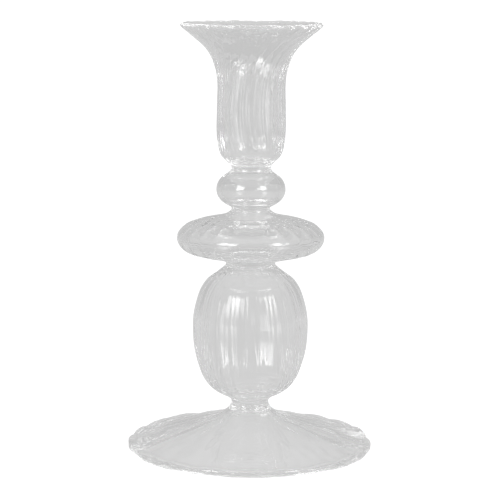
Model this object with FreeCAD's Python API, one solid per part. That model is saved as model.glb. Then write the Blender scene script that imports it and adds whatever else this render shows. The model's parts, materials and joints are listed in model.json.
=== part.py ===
"""A clear glass candlestick made of blown parts joined by solid glass wafers.

From the bottom: a pleated foot, a tall ribbed bulb, a flat ribbed disc, a plain bead and a ribbed
candle cup with a flared mouth. Between each two stands a merese, a solid wafer of glass that joins
their necks and shuts the hollow above and below it.

The frame is in millimetres, +Z up along the axis, with its origin in the middle of the circle that
the foot stands on. Each blown part is one solid: an outer skin with soft ribs, a smooth inner skin
and a flat ring at each neck, which meets the merese face to face.
"""

import FreeCAD, Part  # FreeCAD comes first
import cmath
import math
import os

# ---- Driving dimensions ----------------------------------------------------------------------

# Candle cup. The bore takes a taper candle of 22 to 23 mm.
bore_radius = 11.75
bore_length = 22.0
cup_height = 54.4
cup_wall = 1.3
cup_floor_thickness = 2.2
cup_bowl_height = 9.0
cup_floor_radius = 4.0
cup_mouth_radius = 27.1
cup_lip_thickness = 1.7
cup_flare_angle = 42.0

# Bead
bead_height = 14.1
bead_radius = 13.25
bead_wall = 1.4

# Disc
disc_height = 19.8
disc_radius = 28.2
disc_wall = 1.5

# Bulb
bulb_height = 52.6
bulb_radius = 22.0
bulb_wall = 1.4

# Foot
foot_height = 17.2
foot_radius = 47.6
foot_wall = 1.8
foot_lip_thickness = 2.2
foot_ring_width = 1.6
foot_brim_width = 2.4
foot_shoulder_width = 4.2
foot_shoulder_drop = 3.8
foot_ceiling_radius = 4.0

# Mereses, named by the parts that they carry: outer radius at the necks, and height
bulb_merese_radius = 7.4
bulb_merese_height = 2.2
disc_merese_radius = 9.8
disc_merese_height = 1.6
bead_merese_radius = 7.65
bead_merese_height = 1.5
cup_merese_radius = 7.9
cup_merese_height = 1.8
merese_waist = 0.25

# Thickness of the glass where a blown part is drawn in to its neck. From there it thins evenly to
# the part's own wall, which it reaches at this share of the fullest swell.
neck_wall = 3.4
thinned_by = 0.5

# Ribs: how many stand round the axis, and how far they stand out at their fullest
cup_ribs = 28
cup_rib_depth = 0.22
disc_ribs = 26
disc_rib_depth = 0.18
bulb_ribs = 26
bulb_rib_depth = 0.28
foot_pleats = 20
foot_pleat_depth = 0.30

# ---- Outlines --------------------------------------------------------------------------------
# A blown part's outline runs from its lower neck to its upper neck. Each point gives its height as
# a share of the part's height, how far the glass swells out from the neck as a share of the fullest
# swell, and how full the ribs are there, from 0 to 1.

bulb_line = (
    (0.000, 0.00, 0.0),
    (0.025, 0.12, 0.0),
    (0.060, 0.38, 0.3),
    (0.120, 0.64, 0.7),
    (0.250, 0.87, 1.0),
    (0.517, 1.00, 1.0),
    (0.735, 0.86, 1.0),
    (0.880, 0.58, 0.8),
    (0.950, 0.24, 0.3),
    (0.980, 0.09, 0.0),
    (1.000, 0.00, 0.0),
)
disc_line = (
    (0.000, 0.00, 0.0),
    (0.050, 0.12, 0.2),
    (0.152, 0.59, 0.8),
    (0.253, 0.86, 0.6),
    (0.455, 1.00, 0.3),
    (0.657, 0.92, 0.6),
    (0.783, 0.67, 1.0),
    (0.860, 0.35, 0.8),
    (0.935, 0.09, 0.2),
    (1.000, 0.00, 0.0),
)
bead_line = (
    (0.000, 0.00, 0.0),
    (0.050, 0.24, 0.0),
    (0.120, 0.53, 0.0),
    (0.230, 0.81, 0.0),
    (0.350, 0.96, 0.0),
    (0.500, 1.00, 0.0),
    (0.660, 0.89, 0.0),
    (0.795, 0.64, 0.0),
    (0.900, 0.27, 0.0),
    (0.960, 0.09, 0.0),
    (1.000, 0.00, 0.0),
)

# The cup widens from its neck to the tube round the bore, then flares to the mouth. Below the tube
# each point gives its height as a share of the bowl's, and its swell from the neck to the tube.
bowl_line = (
    (0.00, 0.00, 0.0),
    (0.07, 0.11, 0.0),
    (0.21, 0.43, 0.0),
    (0.34, 0.68, 0.2),
    (0.52, 0.84, 0.5),
    (0.74, 0.92, 0.8),
)
# Above the tube it gives its height as a share of the flare's, and its swell from tube to mouth.
flare_line = ((0.20, 0.05, 1.0), (0.42, 0.16, 1.0), (0.60, 0.33, 1.0), (0.79, 0.63, 1.0))
# Inside the bowl, from the bore down: share of the bowl's height, and swell from floor to bore.
bowl_inside_line = ((1.00, 1.00), (0.52, 0.88), (0.15, 0.48), (0.00, 0.00))

# The foot bends out below its neck, at these shares of the shoulder's width and drop.
foot_bend = (0.26, 0.45)
# From shoulder to brim: share of the way, and how full the pleats are there.
foot_line = ((0.00, 0.3), (0.33, 0.8), (0.67, 1.0), (1.00, 1.0))
# Underneath, from brim to shoulder: share of the way. The underside leaves the ring that the foot
# stands on at this angle, and bends in at this share of the wall's thickness above the ring.
foot_under_line = (0.75, 0.35)
foot_ring_angle = 120.0
foot_ring_bend = 0.45

# How full the ribs are at each point round a lip, from the outside to the inside.
lip_fullness = (1.0, 1.0, 1.0, 0.5, 0.0)

# ---- Geometry helpers ------------------------------------------------------------------------

AXIS = FreeCAD.Vector(0, 0, 1)
ORIGIN = FreeCAD.Vector(0, 0, 0)
RING_DEGREE = 3  # of a ribbed skin round the axis
COLUMNS_PER_RIB = 8  # poles round the axis for each rib
SMOOTH_COLUMNS = 160  # the same for a whole skin with no ribs
LIP_STEP = 45  # degrees between points round a lip
SEWING = 1e-4  # widest gap that is sewn shut


def at(radius, height):
    """A point of an outline, in the plane that holds the axis and +X."""
    return FreeCAD.Vector(radius, 0, height)


def heading(degrees):
    """The direction at that angle above the horizontal, in the same plane."""
    return at(math.cos(math.radians(degrees)), math.sin(math.radians(degrees)))


def round_lip(centre, radius, start, end):
    """Points round a lip, from one heading to the other."""
    steps = math.ceil(abs(end - start) / LIP_STEP)
    return [centre + heading(blend(start, end, step / steps)) * radius for step in range(steps + 1)]


def curve_through(points, start, end):
    """A smooth outline through the points, which sets out and arrives in the given directions."""
    travelled = [0.0]
    for last, point in zip(points, points[1:]):
        travelled.append(travelled[-1] + (point - last).Length)
    curve = Part.BSplineCurve()
    curve.interpolate(
        Points=points, Parameters=travelled, InitialTangent=start, FinalTangent=end, Scale=False
    )
    return curve


def outward(curve, parameter):
    """The outline's normal, on the right of the way it runs, so away from the axis going up."""
    along = curve.tangent(parameter)[0]
    return FreeCAD.Vector(along.z, 0, -along.x)


def pole_parameters(curve):
    """The parameter that each of the curve's poles pulls on the most."""
    degree = curve.Degree
    knots = curve.KnotSequence
    return [sum(knots[i + 1 : i + 1 + degree]) / degree for i in range(curve.NbPoles)]


def ribbed_skin(curve, ribs, depth, fullness):
    """The face that the outline sweeps round the axis, with ribs across it.

    Round the axis the surface is a periodic cubic spline. Such a spline flattens a wave that turns
    through the angle step from pole to pole by (2 + cos(step)) / 3, so the poles are raised by it.
    """
    columns = ribs * COLUMNS_PER_RIB if ribs else SMOOTH_COLUMNS
    turn = 2 * math.pi / columns

    def wave(count, angle):
        return cmath.exp(1j * count * angle) / ((2 + math.cos(count * turn)) / 3)

    rows = []
    for pole, parameter in zip(curve.getPoles(), pole_parameters(curve)):
        normal = outward(curve, parameter)
        height = depth * fullness(parameter)
        rows.append((pole.x, pole.z, height * normal.x, height * normal.z))
    poles = []
    for column in range(columns):
        angle = (column - 1) * turn  # so that the seam lies over +X
        line = []
        for radius, level, swell, lift in rows:
            flat = radius * wave(1, angle)
            flat += swell / 2 * (wave(ribs + 1, angle) + wave(1 - ribs, angle))
            line.append(FreeCAD.Vector(flat.real, flat.imag, level + lift * wave(ribs, angle).real))
        poles.append(line)
    surface = Part.BSplineSurface()
    surface.buildFromPolesMultsKnots(
        poles,
        [1] * (columns + 1),
        curve.getMultiplicities(),
        list(range(columns + 1)),
        curve.getKnots(),
        True,
        False,
        RING_DEGREE,
        curve.Degree,
    )
    return surface.toShape()


def smooth_skin(curve):
    """The face that the outline sweeps round the axis."""
    return curve.toShape().revolve(ORIGIN, AXIS, 360)


def rim_at(face, level):
    """The closed edge of a skin that lies flat at that height."""
    for edge in face.Edges:
        box = edge.BoundBox
        if abs(box.ZMin - level) < SEWING and abs(box.ZMax - level) < SEWING and box.XLength > SEWING:
            return Part.Wire([edge])
    raise ValueError(f"no rim at {level}")


def flat_ring(level, outer, inner=None):
    """The flat face at that height between the rims of two skins, or inside one."""
    wires = [rim_at(outer, level)]
    if inner is not None:
        wires.append(rim_at(inner, level))
    return Part.makeFace(Part.Compound(wires), "Part::FaceMakerBullseye")


def closed_solid(*faces):
    """The solid that the faces shut in."""
    skins = Part.Compound(list(faces))
    skins.sewShape(SEWING)
    solid = Part.makeSolid(skins.Shells[0])
    if solid.Volume < 0:
        solid.reverse()
    return solid


def blend(low, high, share):
    """The value a share of the way from low to high."""
    return low + (high - low) * share


def fullness_along(curve, points, weights):
    """How full the ribs are at a parameter of the curve: straight between the outline's points."""
    stops = [curve.parameter(point) for point in points]

    def fullness(parameter):
        for i in range(len(stops) - 1):
            if parameter <= stops[i + 1]:
                share = (parameter - stops[i]) / (stops[i + 1] - stops[i])
                return blend(weights[i], weights[i + 1], max(share, 0.0))
        return weights[-1]

    return fullness


# ---- Parts -----------------------------------------------------------------------------------


def knop(base, height, lower_neck, upper_neck, belly, wall, line, ribs, depth):
    """A hollow blown part between two necks: bulb, disc or bead."""
    lift = belly - blend(lower_neck, upper_neck, 0.5)
    points, weights, walls = [], [], []
    for share, swell, weight in line:
        radius = blend(lower_neck, upper_neck, share) + lift * swell
        points.append(at(radius, base + height * share))
        weights.append(weight)
        walls.append(blend(neck_wall, wall, min(1.0, swell / thinned_by)))
    outer = curve_through(points, AXIS, AXIS)
    inside = []
    for point, thickness in zip(points, walls):
        inside.append(point - outward(outer, outer.parameter(point)) * thickness)
    inner = smooth_skin(curve_through(inside, AXIS, AXIS))
    skin = ribbed_skin(outer, ribs, depth, fullness_along(outer, points, weights))
    ends = [flat_ring(level, skin, inner) for level in (base, base + height)]
    return closed_solid(skin, inner, *ends)


def merese(base, height, radius):
    """A solid wafer with a shallow waist, as wide as the necks it joins."""
    waist = radius - merese_waist
    side = Part.Arc(at(radius, base), at(waist, base + height / 2), at(radius, base + height))
    edges = [
        Part.makeLine(at(0, base), at(radius, base)),
        side.toShape(),
        Part.makeLine(at(radius, base + height), at(0, base + height)),
        Part.makeLine(at(0, base + height), at(0, base)),
    ]
    return Part.Face(Part.Wire(edges)).revolve(ORIGIN, AXIS, 360)


def foot():
    """The pleated skirt: a shallow cone from the neck to a thick rounded lip, hollow below."""
    neck, top = bulb_merese_radius, foot_height
    lip = foot_lip_thickness / 2
    lip_centre = at(foot_radius - lip, lip)
    ring_inside = lip_centre.x - foot_ring_width
    shoulder = at(neck + foot_shoulder_width, top - foot_shoulder_drop)
    brim = at(lip_centre.x - foot_brim_width, 2 * lip)
    width, drop = foot_bend
    bend = at(neck + width * foot_shoulder_width, top - drop * foot_shoulder_drop)
    points = [at(neck, top), bend]
    weights = [0.0, 0.0]
    for share, weight in foot_line:
        points.append(blend(shoulder, brim, share))
        weights.append(weight)
    points += round_lip(lip_centre, lip, 90, -90)
    weights += lip_fullness
    outer = curve_through(points, at(0, -1), at(-1, 0))
    skin = ribbed_skin(outer, foot_pleats, foot_pleat_depth, fullness_along(outer, points, weights))
    slope = (brim - shoulder).normalize()
    inward = at(slope.z, -slope.x) * foot_wall
    below = [at(ring_inside, 0), at(ring_inside - foot_wall, foot_ring_bend * foot_wall)]
    below += [blend(shoulder, brim, share) + inward for share in foot_under_line]
    ceiling = top - neck_wall
    below.append(at(foot_ceiling_radius, ceiling))
    underside = smooth_skin(curve_through(below, heading(foot_ring_angle), at(-1, 0)))
    ends = [flat_ring(top, skin), flat_ring(ceiling, underside), flat_ring(0, skin, underside)]
    return closed_solid(skin, underside, *ends)


def candle_cup(base):
    """The cup: a round bowl, a tube round the bore, and a mouth that flares to a rounded lip."""
    neck = cup_merese_radius
    tube = bore_radius + cup_wall
    floor = base + cup_floor_thickness
    bore_low = floor + cup_bowl_height
    bore_high = bore_low + bore_length
    lip = cup_lip_thickness / 2
    lip_centre = at(cup_mouth_radius - lip, base + cup_height - lip)
    flare = lip_centre - at(tube, bore_high)
    across = heading(cup_flare_angle - 90) * lip
    points, weights, inside = [], [], []
    for share, swell, weight in bowl_line:
        points.append(at(blend(neck, tube, swell), blend(base, bore_low, share)))
        weights.append(weight)
    for share in (0.0, 0.5, 1.0):
        points.append(at(tube, blend(bore_low, bore_high, share)))
        weights.append(1.0)
    for share, swell, weight in flare_line:
        middle = at(tube + flare.x * swell, bore_high + flare.z * share)
        points.append(middle + across * share)
        inside.append(middle - at(cup_wall, 0) * (1 - share) - across * share)
        weights.append(weight)
    rim = round_lip(lip_centre, lip, cup_flare_angle - 90, cup_flare_angle + 90)
    points += rim
    weights += lip_fullness
    homeward = heading(cup_flare_angle + 180)
    outer = curve_through(points, AXIS, homeward)
    skin = ribbed_skin(outer, cup_ribs, cup_rib_depth, fullness_along(outer, points, weights))
    well = [rim[-1]] + inside[::-1] + [at(bore_radius, bore_high)]
    mouth_skin = smooth_skin(curve_through(well, homeward, at(0, -1)))
    tube_skin = smooth_skin(Part.LineSegment(at(bore_radius, bore_high), at(bore_radius, bore_low)))
    bowl = []
    for share, swell in bowl_inside_line:
        bowl.append(at(blend(cup_floor_radius, bore_radius, swell), blend(floor, bore_low, share)))
    bowl_skin = smooth_skin(curve_through(bowl, at(0, -1), at(-1, 0)))
    ends = [flat_ring(base, skin), flat_ring(floor, bowl_skin)]
    return closed_solid(skin, mouth_skin, tube_skin, bowl_skin, *ends)


def main():
    """Builds each part on top of the last and writes it to parts/NAME.step."""
    parts = {"foot": foot()}
    level = foot_height
    parts["bulb_merese"] = merese(level, bulb_merese_height, bulb_merese_radius)
    level += bulb_merese_height
    parts["bulb"] = knop(
        level, bulb_height, bulb_merese_radius, disc_merese_radius,
        bulb_radius, bulb_wall, bulb_line, bulb_ribs, bulb_rib_depth,
    )
    level += bulb_height
    parts["disc_merese"] = merese(level, disc_merese_height, disc_merese_radius)
    level += disc_merese_height
    parts["disc"] = knop(
        level, disc_height, disc_merese_radius, bead_merese_radius,
        disc_radius, disc_wall, disc_line, disc_ribs, disc_rib_depth,
    )
    level += disc_height
    parts["bead_merese"] = merese(level, bead_merese_height, bead_merese_radius)
    level += bead_merese_height
    parts["bead"] = knop(
        level, bead_height, bead_merese_radius, cup_merese_radius,
        bead_radius, bead_wall, bead_line, 0, 0.0,
    )
    level += bead_height
    parts["cup_merese"] = merese(level, cup_merese_height, cup_merese_radius)
    level += cup_merese_height
    parts["candle_cup"] = candle_cup(level)
    os.makedirs("parts", exist_ok=True)
    for name, solid in parts.items():
        box = solid.optimalBoundingBox()
        print(
            f"{name}: z {box.ZMin:.2f} to {box.ZMax:.2f}, radius {box.XMax:.2f},",
            f"volume {solid.Volume:.0f} mm3, valid {solid.isValid()}, solids {len(solid.Solids)}",
        )
        solid.exportStep(f"parts/{name}.step")


main()
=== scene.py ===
import json
import math

import bpy
from bpy.props import FloatProperty, FloatVectorProperty, IntProperty, PointerProperty
from mathutils import Matrix, Vector


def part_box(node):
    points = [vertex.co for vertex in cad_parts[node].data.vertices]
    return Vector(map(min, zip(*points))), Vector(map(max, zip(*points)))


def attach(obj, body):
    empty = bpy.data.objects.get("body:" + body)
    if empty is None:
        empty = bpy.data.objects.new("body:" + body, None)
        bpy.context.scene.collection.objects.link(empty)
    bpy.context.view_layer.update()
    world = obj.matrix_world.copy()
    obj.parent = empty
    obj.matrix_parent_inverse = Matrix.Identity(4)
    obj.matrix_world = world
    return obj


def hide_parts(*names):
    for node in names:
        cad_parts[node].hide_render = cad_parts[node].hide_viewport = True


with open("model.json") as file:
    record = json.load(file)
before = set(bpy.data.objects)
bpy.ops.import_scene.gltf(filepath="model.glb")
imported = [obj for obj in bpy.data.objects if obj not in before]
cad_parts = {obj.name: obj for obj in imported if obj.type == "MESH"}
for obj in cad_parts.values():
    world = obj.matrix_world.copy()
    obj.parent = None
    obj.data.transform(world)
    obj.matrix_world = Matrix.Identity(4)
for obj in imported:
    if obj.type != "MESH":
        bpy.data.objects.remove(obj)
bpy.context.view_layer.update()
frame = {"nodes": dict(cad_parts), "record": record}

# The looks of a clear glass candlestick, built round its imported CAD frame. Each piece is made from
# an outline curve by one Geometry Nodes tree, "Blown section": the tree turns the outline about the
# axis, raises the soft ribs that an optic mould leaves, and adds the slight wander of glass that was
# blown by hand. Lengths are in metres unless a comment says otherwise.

bl_info = {
    "name": "Glass candlestick",
    "version": (1, 0, 0),
    "blender": (4, 5, 0),
    "location": "3D View > Sidebar > Candlestick",
    "description": "Blows the glass pieces of a ribbed candlestick and sets up its studio",
    "category": "Object",
}

MM = 0.001
MOUNTS = {mount["name"]: mount for mount in frame["record"]["mounts"]}
BORE_RADIUS = MOUNTS["candle_socket"]["dims"]["r_mm"] * MM
BORE_LENGTH = MOUNTS["candle_socket"]["dims"]["length_mm"] * MM
BORE_MIDDLE = MOUNTS["candle_socket"]["pos_m"][2]

# ---- Settings --------------------------------------------------------------------------------


class CandlestickSizes(bpy.types.PropertyGroup):
    """The sizes of the glass that the outlines leave open."""

    neck_wall: FloatProperty(
        name="Neck wall", description="Thickness of the glass where a part is drawn in to its neck",
        default=1.8 * MM, unit="LENGTH",
    )
    bulb_wall: FloatProperty(
        name="Bulb wall", description="Thickness of the bulb's wall at its belly",
        default=1.1 * MM, unit="LENGTH",
    )
    disc_wall: FloatProperty(
        name="Disc wall", description="Thickness of the disc's wall at its rim",
        default=1.2 * MM, unit="LENGTH",
    )
    bead_wall: FloatProperty(
        name="Bead wall", description="Thickness of the bead's wall", default=1.2 * MM, unit="LENGTH",
    )
    cup_wall: FloatProperty(
        name="Cup wall", description="Thickness of the wall round the candle",
        default=1.3 * MM, unit="LENGTH",
    )
    cup_lip: FloatProperty(
        name="Cup lip", description="Thickness of the cup's rounded lip", default=1.7 * MM, unit="LENGTH",
    )
    foot_wall: FloatProperty(
        name="Foot wall", description="Thickness of the foot's skirt", default=1.5 * MM, unit="LENGTH",
    )
    foot_lip: FloatProperty(
        name="Foot lip", description="Thickness of the foot's rounded lip",
        default=2.8 * MM, unit="LENGTH",
    )
    rib_depth: FloatProperty(
        name="Rib depth", description="How far a rib stands out on the bulb", default=0.14 * MM,
        unit="LENGTH",
    )
    wander: FloatProperty(
        name="Wander", description="How far the blown wall strays from a true circle",
        default=0.20 * MM, unit="LENGTH",
    )
    columns_per_rib: IntProperty(
        name="Columns per rib", description="Mesh columns in each rib", default=16, min=8,
    )


class CandlestickGlass(bpy.types.PropertyGroup):
    """The finish of the glass."""

    tint: FloatVectorProperty(
        name="Tint", description="What is left of white light after it passes a wall",
        default=(0.985, 0.985, 0.985), subtype="COLOR", min=0, max=1,
    )
    ior: FloatProperty(name="Index", description="Refractive index of the glass", default=1.47)
    roughness: FloatProperty(
        name="Roughness", description="Roughness of the fire-polished skin", default=0.015,
        subtype="FACTOR",
    )
    ripple: FloatProperty(
        name="Ripple", description="Depth of the fine ripple in the skin", default=0.06 * MM,
        unit="LENGTH",
    )


class CandlestickStudio(bpy.types.PropertyGroup):
    """The floor, the lights and the camera."""

    floor_colour: FloatVectorProperty(
        name="Floor", description="Colour of the floor", default=(0.10, 0.10, 0.10), subtype="COLOR",
    )
    backdrop: FloatProperty(name="Backdrop", description="Brightness of the bare backdrop", default=1.0)
    below: FloatProperty(
        name="Below", description="Brightness of the floor where the glass shows it", default=0.55,
    )
    # Floor glow is the brightness of the pools of light painted into the floor's emission in front of the
    # softboxes; no lamp lights them.
    glow: FloatProperty(
        name="Floor glow", description="Brightness of the softboxes' glow on the floor", default=2.6,
    )
    ceiling: FloatProperty(
        name="Ceiling", description="Brightness overhead where the glass shows it", default=0.88,
    )
    above: FloatProperty(
        name="Above", description="Brightness of the walls where the glass shows them", default=0.545,
    )
    softbox: FloatProperty(
        name="Softboxes", description="Radiance of the two softboxes", default=7.5,
    )
    camera_distance: FloatProperty(
        name="Distance", description="From the candlestick's axis to the camera, level",
        default=0.700, unit="LENGTH",
    )
    camera_height: FloatProperty(
        name="Height", description="Of the camera above the floor", default=0.1886, unit="LENGTH",
    )
    aim_height: FloatProperty(
        name="Aim", description="Height of the point on the axis that the camera looks at",
        default=0.0779, unit="LENGTH",
    )
    lens: FloatProperty(name="Lens", description="Focal length in millimetres", default=132.2)


# ---- Node trees ------------------------------------------------------------------------------


class Wire:
    """A socket in a node tree. Arithmetic on it adds the Math node that does the sum."""

    def __init__(self, tree, socket):
        self.tree = tree
        self.socket = socket

    def node(self, kind, settings=None, inputs=None, output=0):
        """Adds a node of that kind, set up and linked, and returns one of its outputs."""
        node = self.tree.nodes.new(kind)
        for name, value in (settings or {}).items():
            setattr(node, name, value)
        for key, value in (inputs or {}).items():
            if isinstance(value, Wire):
                self.tree.links.new(value.socket, node.inputs[key])
            else:
                node.inputs[key].default_value = value
        return Wire(self.tree, node.outputs[output]) if len(node.outputs) else None

    def other(self, output):
        """Another output of the node that this one belongs to."""
        return Wire(self.tree, self.socket.node.outputs[output])

    def math(self, operation, *values):
        """A Math node on the values given. This wire is one of them only if it is given."""
        return self.node("ShaderNodeMath", {"operation": operation}, dict(enumerate(values)))

    def apply(self, operation, *values):
        """A Math node on this wire and then any other values."""
        return self.math(operation, self, *values)

    def __add__(self, value):
        return self.math("ADD", self, value)

    def __radd__(self, value):
        return self.math("ADD", value, self)

    def __sub__(self, value):
        return self.math("SUBTRACT", self, value)

    def __rsub__(self, value):
        return self.math("SUBTRACT", value, self)

    def __mul__(self, value):
        return self.math("MULTIPLY", self, value)

    def __rmul__(self, value):
        return self.math("MULTIPLY", value, self)

    def __truediv__(self, value):
        return self.math("DIVIDE", self, value)

    def __rtruediv__(self, value):
        return self.math("DIVIDE", value, self)

    def cos(self):
        return self.apply("COSINE")

    def sin(self):
        return self.apply("SINE")

    def from_axis(self):
        """How far the point whose X this is lies from the Z axis."""
        side = self.other("Y")
        return (self * self + side * side).apply("SQRT")

    def ramp(self, start, end, low, high):
        """Goes smoothly from low to high while this wire goes from start to end."""
        return self.node(
            "ShaderNodeMapRange", {"interpolation_type": "SMOOTHSTEP"},
            {"Value": self, "From Min": start, "From Max": end, "To Min": low, "To Max": high},
        )


def first(tree, kind, output):
    """A wire from the first node of a tree."""
    return Wire(tree, tree.nodes.new(kind).outputs[output])


def emptied(data):
    """The node tree of a material, a light or the world, with nothing in it."""
    data.use_nodes = True
    data.node_tree.nodes.clear()
    return data.node_tree


def placed(name, data):
    """A new object in the scene that shows the mesh, curve, light or camera."""
    thing = bpy.data.objects.new(name, data)
    bpy.context.scene.collection.objects.link(thing)
    return thing


# Every input of the tree, with the value that leaves its effect out where it has one. Twist is in
# radians a metre, Bow in radians a square metre, and the other plain numbers are lengths or counts.
SECTION_INPUTS = (
    ("Outline", "NodeSocketObject", None),
    ("Columns", "NodeSocketInt", 256),
    ("Ribs", "NodeSocketInt", 1),
    ("Rib depth", "NodeSocketFloat", 0.0),
    ("Twist", "NodeSocketFloat", 0.0),
    ("Bow", "NodeSocketFloat", 0.0),
    ("Bow height", "NodeSocketFloat", 0.0),
    ("Lip wave", "NodeSocketFloat", 0.0),
    ("Lip lumps", "NodeSocketFloat", 0.0),
    ("Lump count", "NodeSocketFloat", 9.0),
    ("Lump ends", "NodeSocketFloat", 0.0),
    ("Tilt", "NodeSocketFloat", 0.0),
    ("Reach", "NodeSocketFloat", 1.0),
    ("Base", "NodeSocketFloat", -1.0),
    ("Wander", "NodeSocketFloat", 0.0),
    ("Seed", "NodeSocketFloat", 0.0),
    ("Low joint", "NodeSocketFloat", -1.0),
    ("Low hole", "NodeSocketFloat", 0.0),
    ("High joint", "NodeSocketFloat", -1.0),
    ("High hole", "NodeSocketFloat", 0.0),
    ("Glass", "NodeSocketMaterial", None),
    ("Joint", "NodeSocketMaterial", None),
)
VALLEY = 0.22  # How much narrower and deeper a rib's valley is than its crest
RIB_UNEVENNESS = 0.9  # Of one rib against the next
LIP_UNEVENNESS = 0.8  # Of one wave of a lip against the next
LUMP_GAIN = 2.0  # Brings the noise, which stays within half of its range, to full height
ROUND_PER_LENGTH = 1 / (30 * MM)  # Makes the unevenness vary up a piece about as it does round it
STREAK_LENGTH = 0.5  # Of the streak pattern from one end of an outline to the other
POLE_RADIUS = 1e-7
WELD_DISTANCE = 2e-6
SHARP_EDGE = math.radians(50)
JOINT_SLACK = 5e-6  # How far a joint's face may lie from the level given for it
FLAT_NORMAL = 0.99  # A face that points up or down at least this much is flat


def blown_section_tree():
    """Turns an outline about the axis and gives it ribs, a wavy lip and a slight wander."""
    tree = bpy.data.node_groups.get("Blown section")
    if tree:
        return tree
    tree = bpy.data.node_groups.new("Blown section", "GeometryNodeTree")
    tree.interface.new_socket("Geometry", in_out="INPUT", socket_type="NodeSocketGeometry")
    for name, kind, default in SECTION_INPUTS:
        socket = tree.interface.new_socket(name, in_out="INPUT", socket_type=kind)
        if default is not None:
            socket.default_value = default
    tree.interface.new_socket("Geometry", in_out="OUTPUT", socket_type="NodeSocketGeometry")
    start = first(tree, "NodeGroupInput", 0)
    given = start.other
    add = start.node

    # The outline as points, each with its rib and lip weights in the curve's radius and tilt.
    outline = add("GeometryNodeObjectInfo", {}, {"Object": given("Outline")}, "Geometry")
    for name, source in (("fullness", "GeometryNodeInputRadius"), ("lip", "GeometryNodeInputCurveTilt")):
        outline = add(
            "GeometryNodeStoreNamedAttribute", {"data_type": "FLOAT", "domain": "POINT"},
            {"Geometry": outline, "Name": name, "Value": add(source)},
        )
    points = add("GeometryNodeCurveToPoints", {"mode": "EVALUATED"}, {"Curve": outline}, "Points")
    along = add(
        "GeometryNodeStoreNamedAttribute", {"data_type": "FLOAT_VECTOR", "domain": "POINT"},
        {"Geometry": points, "Name": "along", "Value": points.other("Tangent")},
    )
    count = add("GeometryNodeAttributeDomainSize", {"component": "POINTCLOUD"}, {0: along}, "Point Count")
    rows = count - 1

    # A flat grid, one metre square, with a row for each point. X goes round and Y along.
    grid = add(
        "GeometryNodeMeshGrid", {},
        {"Size X": 1.0, "Size Y": 1.0, "Vertices X": given("Columns") + 1, "Vertices Y": count}, "Mesh",
    )
    place = add("ShaderNodeSeparateXYZ", {}, {0: add("GeometryNodeInputPosition")})
    angle = (place + 0.5) * (2 * math.pi)
    row = ((place.other("Y") + 0.5) * rows).apply("ROUND")

    def sampled(kind, name=None):
        """What the outline holds at this row: the point's place, or a named attribute."""
        value = add("GeometryNodeInputPosition")
        if name:
            value = add("GeometryNodeInputNamedAttribute", {"data_type": kind}, {"Name": name})
        return add(
            "GeometryNodeSampleIndex", {"data_type": kind, "domain": "POINT"},
            {"Geometry": along, "Value": value, "Index": row},
        )

    at = add("ShaderNodeSeparateXYZ", {}, {0: sampled("FLOAT_VECTOR")})
    radius, height = at, at.other("Z")
    ahead = add("ShaderNodeSeparateXYZ", {}, {0: sampled("FLOAT_VECTOR", "along")})
    out, up = ahead.other("Z"), 0 - ahead
    fullness, lip = sampled("FLOAT", "fullness"), sampled("FLOAT", "lip")

    # Ribs have a broad crest and a narrow valley, lean with the twist and bend with the bow.
    rise = height - given("Bow height")
    turn = (angle + given("Twist") * height - given("Bow") * rise * rise) * given("Ribs")
    crest = turn.cos() - (turn * 2).cos() * VALLEY
    round_trip = add(
        "ShaderNodeCombineXYZ", {},
        {"X": angle.cos(), "Y": angle.sin(), "Z": height * ROUND_PER_LENGTH},
    )

    def noise(scale, offset, detail):
        """Noise round zero that meets itself after a full turn. The offset is on the seed."""
        value = add(
            "ShaderNodeTexNoise", {"noise_dimensions": "4D"},
            {"Vector": round_trip, "W": given("Seed") + offset, "Scale": scale, "Detail": detail},
        )
        return value - 0.5

    uneven = noise(scale=6.0, offset=3.7, detail=1.0) * RIB_UNEVENNESS + 1.0
    swell = given("Rib depth") * fullness * crest * uneven
    swell = swell + given("Wander") * noise(scale=1.3, offset=0.0, detail=2.0)

    # The lip's lumps can keep to its left and right ends, and its wave follows the ribs.
    lump = noise(scale=given("Lump count"), offset=9.1, detail=1.0)
    ends = angle.cos() * angle.cos() * given("Lump ends") + 1.0 - given("Lump ends")
    swell = swell + given("Lip lumps") * lip * lump * ends * LUMP_GAIN
    ripple = crest * 0.5 + 0.5 + noise(scale=2.6, offset=5.3, detail=1.0) * LIP_UNEVENNESS
    wave = ripple * given("Lip wave") * lip
    share = radius / given("Reach")
    lean = given("Tilt") * share * share * (0.5 - angle.cos() * 0.5)

    # Nothing goes past the reach or below the base, and points on the axis stay there.
    far = (radius + out * swell).apply("MINIMUM", given("Reach"))
    high = (height + up * swell + wave + lean).apply("MAXIMUM", given("Base"))
    pole = radius.apply("COMPARE", 0.0, POLE_RADIUS)
    far = far * (1 - pole)
    high = high + (height - high) * pole
    spun = add("ShaderNodeCombineXYZ", {}, {"X": far * angle.cos(), "Y": far * angle.sin(), "Z": high})
    glass = add("GeometryNodeSetPosition", {}, {"Geometry": grid, "Position": spun})
    flow = add(
        "ShaderNodeCombineXYZ", {},
        {"X": angle.cos(), "Y": angle.sin(), "Z": row / rows * STREAK_LENGTH},
    )
    glass = add(
        "GeometryNodeStoreNamedAttribute", {"data_type": "FLOAT_VECTOR", "domain": "POINT"},
        {"Geometry": glass, "Name": "flow", "Value": flow},
    )
    glass = add("GeometryNodeMergeByDistance", {}, {"Geometry": glass, "Distance": WELD_DISTANCE})
    glass = add("GeometryNodeSetShadeSmooth", {"domain": "FACE"}, {"Geometry": glass, "Shade Smooth": True})
    bend = add("GeometryNodeInputMeshEdgeAngle")
    glass = add(
        "GeometryNodeSetShadeSmooth", {"domain": "EDGE"},
        {"Geometry": glass, "Selection": bend.apply("GREATER_THAN", SHARP_EDGE), "Shade Smooth": False},
    )
    glass = add("GeometryNodeRealizeInstances", {}, {"Geometry": glass})
    glass = add("GeometryNodeSetMaterial", {}, {"Geometry": glass, "Material": given("Glass")})

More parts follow.
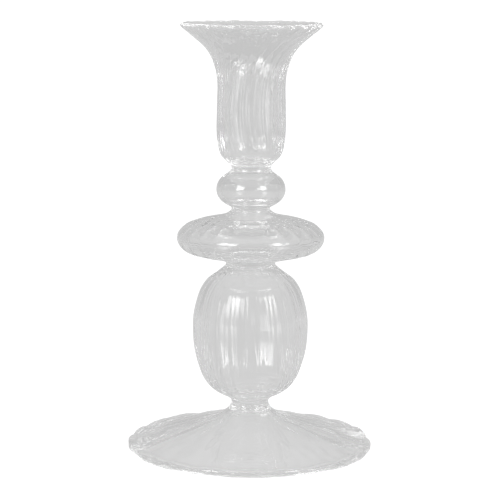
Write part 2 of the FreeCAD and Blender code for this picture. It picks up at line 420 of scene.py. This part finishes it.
    # A joint is what lies flat at the joint's level, outside the hole of a hollow part.
    flat = add("ShaderNodeSeparateXYZ", {}, {0: add("GeometryNodeInputNormal")}, "Z")
    spot = add("ShaderNodeSeparateXYZ", {}, {0: add("GeometryNodeInputPosition")})
    reach = spot.from_axis()
    joint = flat * 0
    for side in ("Low", "High"):
        level = spot.other("Z").apply("COMPARE", given(side + " joint"), JOINT_SLACK)
        joint = joint + level * reach.apply("GREATER_THAN", given(side + " hole"))
    joint = joint * flat.apply("ABSOLUTE").apply("GREATER_THAN", FLAT_NORMAL)
    glass = add(
        "GeometryNodeSetMaterial", {},
        {"Geometry": glass, "Selection": joint, "Material": given("Joint")},
    )
    add("NodeGroupOutput", {}, {"Geometry": glass})
    return tree


# ---- Outlines --------------------------------------------------------------------------------


def blend(low, high, share):
    """The value a share of the way from low to high."""
    return low + (high - low) * share


def heading(degrees):
    """The direction at that angle above the horizontal, in the plane of the outlines."""
    return Vector((math.cos(math.radians(degrees)), math.sin(math.radians(degrees))))


LIP_STEP = 36  # Degrees from one knot of a rounded lip to the next


class Outline:
    """The section of a piece of glass: points of (radius, height), with the glass on the left."""

    def __init__(self):
        self.knots = []

    def add(self, place, ribs=0.0, lip=0.0, corner=False):
        self.knots.append((Vector(place), ribs, lip, corner))

    def round(self, centre, radius, start, end, ribs):
        """A rounded lip from one heading to the other."""
        steps = math.ceil(abs(end - start) / LIP_STEP)
        for step in range(steps + 1):
            self.add(centre + heading(blend(start, end, step / steps)) * radius, ribs, lip=1.0)

    def curve(self, name):
        """The outline as a Bezier curve object in the XZ plane."""
        data = bpy.data.curves.new(name, "CURVE")
        data.dimensions = "3D"
        data.resolution_u = 6
        spline = data.splines.new("BEZIER")
        spline.bezier_points.add(len(self.knots) - 1)
        for knot, (place, ribs, lip, corner) in zip(spline.bezier_points, self.knots):
            knot.co = (place.x, 0, place.y)
            knot.radius = ribs
            knot.tilt = lip
            knot.handle_left_type = knot.handle_right_type = "VECTOR" if corner else "AUTO"
        return placed(name, data)


def span(node):
    """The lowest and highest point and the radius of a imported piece."""
    low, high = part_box(node)
    return low.z, high.z, high.x


def neck(node):
    """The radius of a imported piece, which at a merese is that of the neck."""
    return span(node)[2]


def beside(radius, height, offset):
    """The point that lies an offset in mm, outwards and upwards, from a radius and a height."""
    return Vector((radius + offset[0] * MM, height + offset[1] * MM))


def inside(places, i, thickness):
    """The point inside the wall next to an outline's point, square to the outline there."""
    along = (places[i + 1] - places[i - 1]).normalized()
    return places[i] - Vector((along.y, -along.x)) * thickness


# The lines of the blown parts. Each knot has its share of the way up, how far the part has swelled
# there from its neck to its full radius, and how full its ribs are.
BULB_LINE = (
    (0.000, 0.00, 0.0), (0.025, 0.12, 0.0), (0.060, 0.38, 0.2), (0.120, 0.64, 0.5),
    (0.250, 0.87, 0.9), (0.517, 1.00, 1.0), (0.735, 0.86, 0.9), (0.880, 0.58, 0.5),
    (0.950, 0.24, 0.15), (0.980, 0.09, 0.0), (1.000, 0.00, 0.0),
)
DISC_LINE = (
    (0.000, 0.00, 0.0), (0.050, 0.12, 0.1), (0.152, 0.59, 0.6), (0.253, 0.86, 1.0),
    (0.455, 1.00, 0.6), (0.657, 0.92, 1.0), (0.783, 0.67, 0.8), (0.860, 0.35, 0.3),
    (0.935, 0.09, 0.0), (1.000, 0.00, 0.0),
)
BEAD_LINE = (
    (0.000, 0.00, 0.0), (0.050, 0.24, 0.0), (0.120, 0.53, 0.0), (0.230, 0.81, 0.0),
    (0.350, 0.96, 0.0), (0.500, 1.00, 0.0), (0.660, 0.89, 0.0), (0.795, 0.64, 0.0),
    (0.900, 0.27, 0.0), (0.960, 0.09, 0.0), (1.000, 0.00, 0.0),
)
INNER_FROM = 0.3  # Below this swell the inside has no knots, so it runs straight into the neck
INNER_RIBS = 0.35  # How full the ribs are on the inside of a knop
THINS_BY = 1.5  # How much faster the wall thins than the part swells


def knop(node, below, above, line, rib_depth, wall, neck_wall, inner_from=INNER_FROM):
    """The outline of a hollow blown part between two necks."""
    low, high, reach = span(node)
    low_neck, high_neck = neck(below), neck(above)
    lift = reach - rib_depth - blend(low_neck, high_neck, 0.5)
    places = []
    for share, swell, ribs in line:
        radius = blend(low_neck, high_neck, share) + lift * swell
        places.append(Vector((radius, blend(low, high, share))))
    outline = Outline()
    outline.add((low_neck - neck_wall, low), corner=True)
    last = len(line) - 1
    for i, (share, swell, ribs) in enumerate(line):
        outline.add(places[i], ribs, corner=i in (0, last))
    outline.add((high_neck - neck_wall, high), corner=True)
    for i in range(last - 1, 0, -1):
        share, swell, ribs = line[i]
        if swell < inner_from:
            continue
        thickness = blend(neck_wall, wall, min(1.0, THINS_BY * swell))
        outline.add(inside(places, i, thickness), -INNER_RIBS * ribs)
    outline.add((low_neck - neck_wall, low), corner=True)
    return outline


# The bowl goes from the neck to the tube, and the flare from the tube to the middle of the lip.
BOWL_LINE = (
    (0.00, 0.00, 0.0), (0.07, 0.11, 0.0), (0.21, 0.43, 0.0), (0.34, 0.68, 0.1),
    (0.52, 0.84, 0.3), (0.74, 0.92, 0.7),
)
FLARE_LINE = ((0.20, 0.05, 0.6), (0.42, 0.16, 0.3), (0.60, 0.33, 0.2), (0.79, 0.63, 0.2))
FLARE_ANGLE = 42.0
CUP_LIP_INSET = (-0.15, -0.35)  # In mm, and leaves the cup's lip room to waver
CUP_FLOOR = ((8.0, 2.35), (6.0, 1.55), (3.0, 1.2))  # Radius and height of the hollow's floor, in mm
CUP_FLOOR_MIDDLE = 1.15 * MM
CUP_INNER_RIBS = 0.5
CUP_LIP_RIBS = 0.3
WAVY_FROM = 0.6  # The share of the flare from which it wavers with the lip
TUBE_SHARES = (0.0, 0.5, 1.0)


def cup_outline(sizes, rib_depth):
    """The candle cup: a round bowl, a tube round the bore and a flared mouth."""
    low, high, reach = span("candle_cup")
    low_neck = neck("cup_merese")
    tube = BORE_RADIUS + sizes.cup_wall
    bore_low, bore_high = BORE_MIDDLE - BORE_LENGTH / 2, BORE_MIDDLE + BORE_LENGTH / 2
    lip = sizes.cup_lip / 2
    centre = beside(reach - rib_depth - lip, high - lip, CUP_LIP_INSET)
    flare = centre - Vector((tube, bore_high))
    across = heading(FLARE_ANGLE - 90) * lip
    outline = Outline()
    outline.add((0, low), corner=True)
    bowl = [
        Vector((blend(low_neck, tube, swell), blend(low, bore_low, share)))
        for share, swell, ribs in BOWL_LINE
    ]
    bowl.append(Vector((tube, bore_low)))
    for i, (share, swell, ribs) in enumerate(BOWL_LINE):
        outline.add(bowl[i], ribs, corner=i == 0)
    for share in TUBE_SHARES:
        outline.add((tube, blend(bore_low, bore_high, share)), 1.0)
    flared = []
    for share, swell, ribs in FLARE_LINE:
        middle = Vector((tube + flare.x * swell, bore_high + flare.y * share))
        wavy = max(0.0, share - WAVY_FROM)
        outline.add(middle + across * share, ribs, wavy)
        inner = middle - Vector((sizes.cup_wall, 0)) * (1 - share) - across * share
        flared.append((inner, -CUP_INNER_RIBS * ribs, wavy))
    outline.round(centre, lip, FLARE_ANGLE - 90, FLARE_ANGLE + 90, CUP_LIP_RIBS)
    for place, ribs, wavy in reversed(flared):
        outline.add(place, ribs, wavy)
    for share in reversed(TUBE_SHARES):
        outline.add((BORE_RADIUS, blend(bore_low, bore_high, share)), -CUP_INNER_RIBS)
    for i in range(len(BOWL_LINE) - 1, 1, -1):
        outline.add(inside(bowl, i, sizes.cup_wall), -CUP_INNER_RIBS * BOWL_LINE[i][2])
    for radius, rise in CUP_FLOOR:
        outline.add((radius * MM, low + rise * MM))
    outline.add((0, low + CUP_FLOOR_MIDDLE), corner=True)
    return outline


# Offsets in the foot's outline, in mm, outwards and upwards.
FOOT_LIP_INSET = (-0.12, 0.10)  # Leaves the foot's lip room to waver
FOOT_SHOULDER = (4.2, -3.8)  # From the neck's edge to the top of the straight skirt
FOOT_COVE = (1.1, -1.7)  # From the neck's edge to the round between it and the skirt
FOOT_HEEL = (-2.8, 0.9)  # From below the lip's middle to where the hollow meets the lip
FOOT_BRIM = 2.4 * MM  # From the lip's middle in to the end of the skirt
FOOT_CEILING = 1.2 * MM  # Thickness of the glass over the middle of the hollow
FOOT_HOLLOW = ((4.0, 1.3), (6.6, 1.9), (9.0, 3.7))  # Its radius and its depth below the neck, in mm
FOOT_UNDER_LINE = ((0.12, 0.0), (0.35, -0.3), (0.75, -0.5))  # Share of the way out, rib fullness
FOOT_LINE = ((1.0, 1.0), (0.67, 1.0), (0.33, 0.8), (0.0, 0.3))
FOOT_LIP_FROM, FOOT_LIP_TO = 250, 450  # Headings where the lip's round starts and ends


def foot_outline(sizes):
    """The foot: a pleated cone, hollow below, with a thick rounded lip."""
    low, high, reach = span("foot")
    top_neck = neck("bulb_merese")
    lip = sizes.foot_lip / 2
    centre = beside(reach - lip, low + lip, FOOT_LIP_INSET)
    shoulder = beside(top_neck, high, FOOT_SHOULDER)
    brim = Vector((centre.x - FOOT_BRIM, low + 2 * lip))
    slope = (brim - shoulder).normalized()
    inward = Vector((slope.y, -slope.x)) * sizes.foot_wall
    outline = Outline()
    outline.add((0, high - FOOT_CEILING), corner=True)
    for radius, drop in FOOT_HOLLOW:
        outline.add((radius * MM, high - drop * MM))
    for share, ribs in FOOT_UNDER_LINE:
        outline.add(blend(shoulder, brim, share) + inward, ribs, lip=share ** 2)
    outline.add(beside(centre.x, low, FOOT_HEEL), ribs=-0.5, lip=0.9)
    outline.round(centre, lip, FOOT_LIP_FROM, FOOT_LIP_TO, ribs=1.0)
    for share, ribs in FOOT_LINE:
        outline.add(blend(shoulder, brim, share), ribs, lip=share ** 2)
    outline.add(beside(top_neck, high, FOOT_COVE))
    outline.add((top_neck, high), corner=True)
    outline.add((0, high), corner=True)
    return outline


MERESE_WAIST = 0.25 * MM


def merese_outline(node, low_hole, high_hole):
    """A solid wafer with a shallow waist. Each hole is the bore of the part that it closes."""
    low, high, reach = span(node)
    outline = Outline()
    outline.add((0, low), corner=True)
    if low_hole:
        outline.add((low_hole, low), corner=True)
    outline.add((reach, low), corner=True)
    outline.add((reach - MERESE_WAIST, blend(low, high, 0.5)))
    outline.add((reach, high), corner=True)
    if high_hole:
        outline.add((high_hole, high), corner=True)
    outline.add((0, high), corner=True)
    return outline


# ---- Pieces ----------------------------------------------------------------------------------

STREAK_SCALE = 20  # Of the fine streaks that run the way the glass was drawn
SWIRL_SCALE = 120
STREAK_SHARE = 0.85  # Of the ripple that is streaks; the rest is swirls
HAZE_SCALE = 60
THICK_SHADE = 0.985  # What the haze leaves of the tint where it is thickest
SHADOW_TINT = (0.90, 0.90, 0.90, 1)  # What one skin of glass leaves of light that makes a shadow
WAFER_RIPPLE = 0.6  # Of the ripple on blown glass


def blow(node, outline, material, values):
    """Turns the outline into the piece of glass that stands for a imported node."""
    profile = outline.curve(node + "_outline")
    piece = placed(node + "_glass", bpy.data.meshes.new(node + "_glass"))
    modifier = piece.modifiers.new("Blown section", "NODES")
    modifier.node_group = blown_section_tree()
    low, high, _ = span(node)
    values = {**values, "Outline": profile, "Glass": material, "Joint": fused_joint()}
    if node != "foot":
        values["Low joint"] = low
    if node != "candle_cup":
        values["High joint"] = high
    for item in modifier.node_group.interface.items_tree:
        if item.in_out == "INPUT" and item.name in values:
            modifier[item.identifier] = values[item.name]
    graph = bpy.context.evaluated_depsgraph_get()
    mesh = bpy.data.meshes.new_from_object(piece.evaluated_get(graph), depsgraph=graph)
    mesh.name = node + "_glass"
    piece.modifiers.remove(modifier)
    piece.data = mesh
    bpy.data.objects.remove(profile)
    if not mesh.polygons:
        raise RuntimeError(f"{node} came out empty")
    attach(piece, "root")
    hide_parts(node)


def glass_material(name, ripple):
    """Fire-polished clear glass: a faint grey, nearly smooth, with a soft ripple in the skin."""
    glass = bpy.context.scene.candlestick_glass
    material = bpy.data.materials.get(name)
    if material:
        return material
    material = bpy.data.materials.new(name)
    start = first(emptied(material), "ShaderNodeTexCoord", "Object")
    add = start.node
    flow = add("ShaderNodeAttribute", {"attribute_name": "flow"}, {}, "Vector")
    streaks = add("ShaderNodeTexNoise", {}, {"Vector": flow, "Scale": STREAK_SCALE, "Detail": 4.0})
    swirls = add("ShaderNodeTexNoise", {}, {"Vector": start, "Scale": SWIRL_SCALE, "Detail": 2.0})
    haze = add("ShaderNodeTexNoise", {}, {"Vector": start, "Scale": HAZE_SCALE, "Detail": 4.0})
    relief = streaks * STREAK_SHARE + swirls * (1 - STREAK_SHARE)
    bump = add("ShaderNodeBump", {}, {"Height": relief, "Distance": ripple, "Strength": 1.0})
    thin = tuple(glass.tint) + (1,)
    thick = tuple(channel * THICK_SHADE for channel in glass.tint) + (1,)
    colour = add("ShaderNodeMix", {"data_type": "RGBA"}, {0: haze, 6: thin, 7: thick}, 2)
    # The haze is about a half on average, so twice the haze keeps the roughness that was set.
    rough = haze * glass.roughness * 2
    skin = add(
        "ShaderNodeBsdfPrincipled", {},
        {"Base Color": colour, "Roughness": rough, "IOR": glass.ior, "Transmission Weight": 1.0,
         "Normal": bump},
    )
    clear = add("ShaderNodeBsdfTransparent", {}, {"Color": SHADOW_TINT})
    lamps = add("ShaderNodeLightPath", {}, {}, "Is Shadow Ray")
    surface = add("ShaderNodeMixShader", {}, {0: lamps, 1: skin, 2: clear})
    add("ShaderNodeOutputMaterial", {}, {"Surface": surface})
    return material


def fused_joint():
    """Where two pieces are fused the glass runs on from one to the next, so nothing shows."""
    material = bpy.data.materials.get("Fused joint")
    if material:
        return material
    material = bpy.data.materials.new("Fused joint")
    clear = first(emptied(material), "ShaderNodeBsdfTransparent", "BSDF")
    clear.node("ShaderNodeOutputMaterial", {}, {"Surface": clear})
    return material


def blown_glass():
    """The glass of the blown parts."""
    return glass_material("Blown glass", bpy.context.scene.candlestick_glass.ripple)


def wafer_glass():
    """The glass of the mereses, which ripples less."""
    return glass_material("Wafer glass", bpy.context.scene.candlestick_glass.ripple * WAFER_RIPPLE)


# ---- Operators -------------------------------------------------------------------------------

FOOT_RIBS, BULB_RIBS, DISC_RIBS, CUP_RIBS = 20, 26, 26, 28
FOOT_RIB_DEPTH = 0.08 * MM
DISC_RIB_DEPTH = 0.08 * MM
CUP_RIB_DEPTH = 0.14 * MM
EDGE_ROOM = 0.02 * MM  # How far the foot keeps inside its packed size
PLAIN_COLUMNS = 256  # Of the bead, which has no ribs
WAFER_COLUMNS = 192
FIRST_WAFER_SEED = 20.0


def ribbed(sizes, ribs, depth, seed, **more):
    """The inputs that the ribbed parts share, and any others with their underscores as spaces."""
    values = {
        "Ribs": ribs, "Columns": ribs * sizes.columns_per_rib, "Rib depth": depth,
        "Wander": sizes.wander, "Seed": seed,
    }
    values.update({name.replace("_", " "): value for name, value in more.items()})
    return values


class CANDLESTICK_OT_foot(bpy.types.Operator):
    """Blow the pleated foot with its wavy, fire-polished lip"""

    bl_idname = "candlestick.foot"
    bl_label = "Foot"

    def execute(self, context):
        sizes = context.scene.candlestick_sizes
        values = ribbed(
            sizes, FOOT_RIBS, FOOT_RIB_DEPTH, seed=4.0, Lip_wave=0.35 * MM, Lip_lumps=1.0 * MM,
            Lump_count=4.0, Lump_ends=0.75, Tilt=0.3 * MM, Reach=neck("foot") - EDGE_ROOM,
            Base=EDGE_ROOM,
        )
        blow("foot", foot_outline(sizes), blown_glass(), values)
        return {"FINISHED"}


class CANDLESTICK_OT_bulb(bpy.types.Operator):
    """Blow the large ribbed bulb"""

    bl_idname = "candlestick.bulb"
    bl_label = "Bulb"

    def execute(self, context):
        sizes = context.scene.candlestick_sizes
        outline = knop(
            "bulb", "bulb_merese", "disc_merese", BULB_LINE, sizes.rib_depth, sizes.bulb_wall,
            sizes.neck_wall,
        )
        values = ribbed(sizes, BULB_RIBS, sizes.rib_depth, seed=1.0, Twist=1.5)
        blow("bulb", outline, blown_glass(), values)
        return {"FINISHED"}


class CANDLESTICK_OT_disc(bpy.types.Operator):
    """Blow the wide flattened disc"""

    bl_idname = "candlestick.disc"
    bl_label = "Disc"

    def execute(self, context):
        sizes = context.scene.candlestick_sizes
        outline = knop(
            "disc", "disc_merese", "bead_merese", DISC_LINE, DISC_RIB_DEPTH, sizes.disc_wall,
            sizes.neck_wall, inner_from=0.0,
        )
        values = ribbed(sizes, DISC_RIBS, DISC_RIB_DEPTH, seed=2.0, Twist=3.0)
        blow("disc", outline, blown_glass(), values)
        return {"FINISHED"}


class CANDLESTICK_OT_bead(bpy.types.Operator):
    """Blow the small plain bead"""

    bl_idname = "candlestick.bead"
    bl_label = "Bead"

    def execute(self, context):
        sizes = context.scene.candlestick_sizes
        outline = knop(
            "bead", "bead_merese", "cup_merese", BEAD_LINE, 0.0, sizes.bead_wall, sizes.neck_wall
        )
        values = {"Columns": PLAIN_COLUMNS, "Wander": 0.5 * sizes.wander, "Seed": 3.0}
        blow("bead", outline, blown_glass(), values)
        return {"FINISHED"}


class CANDLESTICK_OT_cup(bpy.types.Operator):
    """Blow the ribbed candle cup with its flared mouth"""

    bl_idname = "candlestick.cup"
    bl_label = "Candle cup"

    def execute(self, context):
        sizes = context.scene.candlestick_sizes
        values = ribbed(
            sizes, CUP_RIBS, CUP_RIB_DEPTH, seed=5.0, Bow=700.0, Bow_height=BORE_MIDDLE,
            Lip_wave=0.1 * MM, Lip_lumps=0.35 * MM,
        )
        blow("candle_cup", cup_outline(sizes, CUP_RIB_DEPTH), blown_glass(), values)
        return {"FINISHED"}


class CANDLESTICK_OT_mereses(bpy.types.Operator):
    """Lay the solid wafers that join the blown parts"""

    bl_idname = "candlestick.mereses"
    bl_label = "Mereses"

    def execute(self, context):
        wall = context.scene.candlestick_sizes.neck_wall
        names = [name for name in sorted(frame["nodes"]) if name.endswith("merese")]
        for seed, node in enumerate(names):
            # The foot's top and the cup's floor are solid, so the joints there have no hole.
            low_hole = 0.0 if node == "bulb_merese" else neck(node) - wall
            high_hole = 0.0 if node == "cup_merese" else neck(node) - wall
            values = {
                "Columns": WAFER_COLUMNS, "Seed": FIRST_WAFER_SEED + seed,
                "Low hole": low_hole, "High hole": high_hole,
            }
            blow(node, merese_outline(node, low_hole, high_hole), wafer_glass(), values)
        return {"FINISHED"}


# Each softbox: its azimuth from the camera's side, in degrees, its width and height, in metres,
# and half the angle of the pool of light painted on the floor in front of it.
SOFTBOXES = {
    "softbox_left": (-39, (1.15, 2.00), 14),
    "softbox_right": (47, (0.90, 2.00), 12),
}
SOFTBOX_ELEVATION = 18.5
SOFTBOX_DISTANCE = 2.2
MIDDLE_HEIGHT = 0.08  # Of the point that the softboxes face
BOUNCES = 128  # Enough for light that goes back and forth in the glass
FLOOR_RADIUS = 15
FLOOR_CORNERS = 64
STAND_AZIMUTH = 81
STAND_DISTANCE = 0.60
STAND_HALF_WIDTH = 0.016
STAND_HEIGHT = 0.14
CAMERA_SIDE = -0.24 * MM
CAMERA_ROLL = 0.3
SENSOR_WIDTH = 36


def cloud(start, scale):
    """Broad soft unevenness round one, so that nothing which the glass shows is quite even."""
    noise = start.node("ShaderNodeTexNoise", {}, {"Vector": start, "Scale": scale, "Detail": 1.0})
    return noise * 0.3 + 0.85


def bare_or(start, shown, backdrop):
    """The bare backdrop where nothing is in front of it, and what is shown where the glass is."""
    bare = start.node("ShaderNodeLightPath", {}, {}, "Is Camera Ray")
    return shown + bare * (backdrop - shown)


def panel_light(name, azimuth, size, radiance):
    """A softbox that faces the middle of the candlestick."""
    flat = math.radians(azimuth)
    rise = math.radians(SOFTBOX_ELEVATION)
    away = Vector((math.sin(flat) * math.cos(rise), -math.cos(flat) * math.cos(rise), math.sin(rise)))
    data = bpy.data.lights.new(name, "AREA")
    data.shape = "RECTANGLE"
    data.size, data.size_y = size
    data.energy = radiance * math.pi * size[0] * size[1]
    start = first(emptied(data), "ShaderNodeNewGeometry", "Parametric")
    across = start.node("ShaderNodeSeparateXYZ", {}, {0: start})
    height = across.other("Y")
    # The lamp fades at its two sides, is dim in its lower third and falls off at the top.
    edge = (across * (1 - across) * 4).apply("POWER", 0.5)
    glow = edge * height.ramp(0.28, 0.56, 0.06, 1.0) * height.ramp(0.82, 1.0, 1.0, 0.2)
    lamp = start.node("ShaderNodeEmission", {}, {"Color": glow, "Strength": 1.0})
    start.node("ShaderNodeOutputLight", {}, {"Surface": lamp})
    light = placed(name, data)
    light.location = Vector((0, 0, MIDDLE_HEIGHT)) + away * SOFTBOX_DISTANCE
    light.rotation_euler = away.to_track_quat("Z", "Y").to_euler()


class CANDLESTICK_OT_stage(bpy.types.Operator):
    """Set up the floor, the studio walls, the softboxes and the camera"""

    bl_idname = "candlestick.stage"
    bl_label = "Stage"

    def execute(self, context):
        scene = context.scene
        studio = scene.candlestick_studio
        scene.view_settings.view_transform = "Standard"
        cycles = scene.cycles
        cycles.max_bounces = cycles.glossy_bounces = cycles.transmission_bounces = BOUNCES
        cycles.transparent_max_bounces = BOUNCES
        self.floor(studio)
        self.walls(scene, studio)
        for name, (azimuth, size, _) in SOFTBOXES.items():
            panel_light(name, azimuth, size, studio.softbox)
        self.stand()
        self.camera(scene, studio)
        return {"FINISHED"}

    def floor(self, studio):
        """A matte floor with pools of light painted into its emission in front of the softboxes, where only
        the glass shows it.
        """
        mesh = bpy.data.meshes.new("floor")
        corners = []
        for step in range(FLOOR_CORNERS):
            angle = 2 * math.pi * step / FLOOR_CORNERS
            corners.append((FLOOR_RADIUS * math.cos(angle), FLOOR_RADIUS * math.sin(angle), 0))
        mesh.from_pydata(corners, [], [tuple(range(FLOOR_CORNERS))])
        material = bpy.data.materials.new("Floor")
        start = first(emptied(material), "ShaderNodeTexCoord", "Object")
        grain = start.node("ShaderNodeTexNoise", {}, {"Vector": start, "Scale": 400, "Detail": 3.0})
        spot = start.node("ShaderNodeSeparateXYZ", {}, {0: start})
        aside = spot.apply("ARCTAN2", 0 - spot.other("Y"))
        away = spot.from_axis()
        # The painted pool of light starts clear of the foot, and past it the floor darkens a little.
        far = away.ramp(0.14, 0.32, 0.0, studio.glow)
        shown = cloud(start, 3.0) * studio.below * away.ramp(0.45, 0.9, 1.0, 0.93)
        # Each softbox gets a pool of light painted into the floor's emission, in the band of azimuths in
        # front of it.
        for azimuth, _, half_painted_pool in SOFTBOXES.values():
            off = (aside - math.radians(azimuth)).apply("ABSOLUTE")
            shown = shown + far * off.ramp(0.0, math.radians(half_painted_pool), 1.0, 0.0)
        paint = start.node(
            "ShaderNodeBsdfPrincipled", {},
            {"Base Color": tuple(studio.floor_colour) + (1,), "Roughness": grain * 0.1 + 0.85,
             "Specular IOR Level": 0.1, "Emission Color": bare_or(start, shown, studio.backdrop),
             "Emission Strength": 1.0},
        )
        start.node("ShaderNodeOutputMaterial", {}, {"Surface": paint})
        mesh.materials.append(material)
        placed("floor", mesh)

    def stand(self):
        """The dark foot of a lamp stand, off to the right, which only the glass sees."""
        turn = math.radians(STAND_AZIMUTH)
        across = Vector((math.cos(turn), math.sin(turn), 0)) * STAND_HALF_WIDTH
        middle = Vector((math.sin(turn), -math.cos(turn), 0)) * STAND_DISTANCE
        rise = Vector((0, 0, STAND_HEIGHT))
        mesh = bpy.data.meshes.new("stand")
        corners = [middle - across, middle + across, middle + across + rise, middle - across + rise]
        mesh.from_pydata([tuple(corner) for corner in corners], [], [(0, 1, 2, 3)])
        material = bpy.data.materials.new("Stand")
        start = first(emptied(material), "ShaderNodeTexCoord", "Object")
        grain = start.node("ShaderNodeTexNoise", {}, {"Vector": start, "Scale": 200, "Detail": 3.0})
        paint = start.node(
            "ShaderNodeBsdfPrincipled", {}, {"Base Color": (0.02, 0.015, 0.02, 1), "Roughness": grain}
        )
        start.node("ShaderNodeOutputMaterial", {}, {"Surface": paint})
        mesh.materials.append(material)
        stand = placed("stand", mesh)
        stand.visible_camera = False
        stand.visible_shadow = False

    def walls(self, scene, studio):
        """The studio's walls and ceiling, as the world's light."""
        world = bpy.data.worlds.new("Studio")
        scene.world = world
        start = first(emptied(world), "ShaderNodeTexCoord", "Generated")
        height = start.node("ShaderNodeSeparateXYZ", {}, {0: start}, "Z")
        shown = height.ramp(0.3, 1.0, studio.above, studio.ceiling) * cloud(start, 2.5)
        glow = start.node(
            "ShaderNodeBackground", {},
            {"Color": bare_or(start, shown, studio.backdrop), "Strength": 1.0},
        )
        start.node("ShaderNodeOutputWorld", {}, {"Surface": glow})

    def camera(self, scene, studio):
        """The camera, a little higher than the candlestick and looking slightly down."""
        data = bpy.data.cameras.new("camera")
        data.lens = studio.lens
        data.sensor_width = SENSOR_WIDTH
        camera = placed("camera", data)
        camera.location = (CAMERA_SIDE, -studio.camera_distance, studio.camera_height)
        aim = Vector((CAMERA_SIDE, 0, studio.aim_height)) - camera.location
        roll = Matrix.Rotation(math.radians(CAMERA_ROLL), 3, "Z")
        camera.rotation_euler = (aim.to_track_quat("-Z", "Y").to_matrix() @ roll).to_euler()
        scene.camera = camera


class CANDLESTICK_PT_panel(bpy.types.Panel):
    """The candlestick's settings and the steps that build it"""

    bl_idname = "CANDLESTICK_PT_panel"
    bl_label = "Candlestick"
    bl_space_type = "VIEW_3D"
    bl_region_type = "UI"
    bl_category = "Candlestick"

    def draw(self, context):
        for group in ("candlestick_sizes", "candlestick_glass", "candlestick_studio"):
            settings = getattr(context.scene, group)
            box = self.layout.box()
            for name in settings.__annotations__:
                box.prop(settings, name)
        for step in STEPS:
            self.layout.operator(step.bl_idname)


STEPS = (
    CANDLESTICK_OT_foot, CANDLESTICK_OT_bulb, CANDLESTICK_OT_disc, CANDLESTICK_OT_bead,
    CANDLESTICK_OT_cup, CANDLESTICK_OT_mereses, CANDLESTICK_OT_stage,
)
CLASSES = (CandlestickSizes, CandlestickGlass, CandlestickStudio, *STEPS, CANDLESTICK_PT_panel)


def register():
    for kind in CLASSES:
        bpy.utils.register_class(kind)
    bpy.types.Scene.candlestick_sizes = PointerProperty(type=CandlestickSizes)
    bpy.types.Scene.candlestick_glass = PointerProperty(type=CandlestickGlass)
    bpy.types.Scene.candlestick_studio = PointerProperty(type=CandlestickStudio)


def unregister():
    del bpy.types.Scene.candlestick_studio
    del bpy.types.Scene.candlestick_glass
    del bpy.types.Scene.candlestick_sizes
    for kind in reversed(CLASSES):
        bpy.utils.unregister_class(kind)


def main():
    register()
    bpy.ops.candlestick.foot()
    bpy.ops.candlestick.bulb()
    bpy.ops.candlestick.disc()
    bpy.ops.candlestick.bead()
    bpy.ops.candlestick.cup()
    bpy.ops.candlestick.mereses()
    bpy.ops.candlestick.stage()


if __name__ == "__main__":
    main()
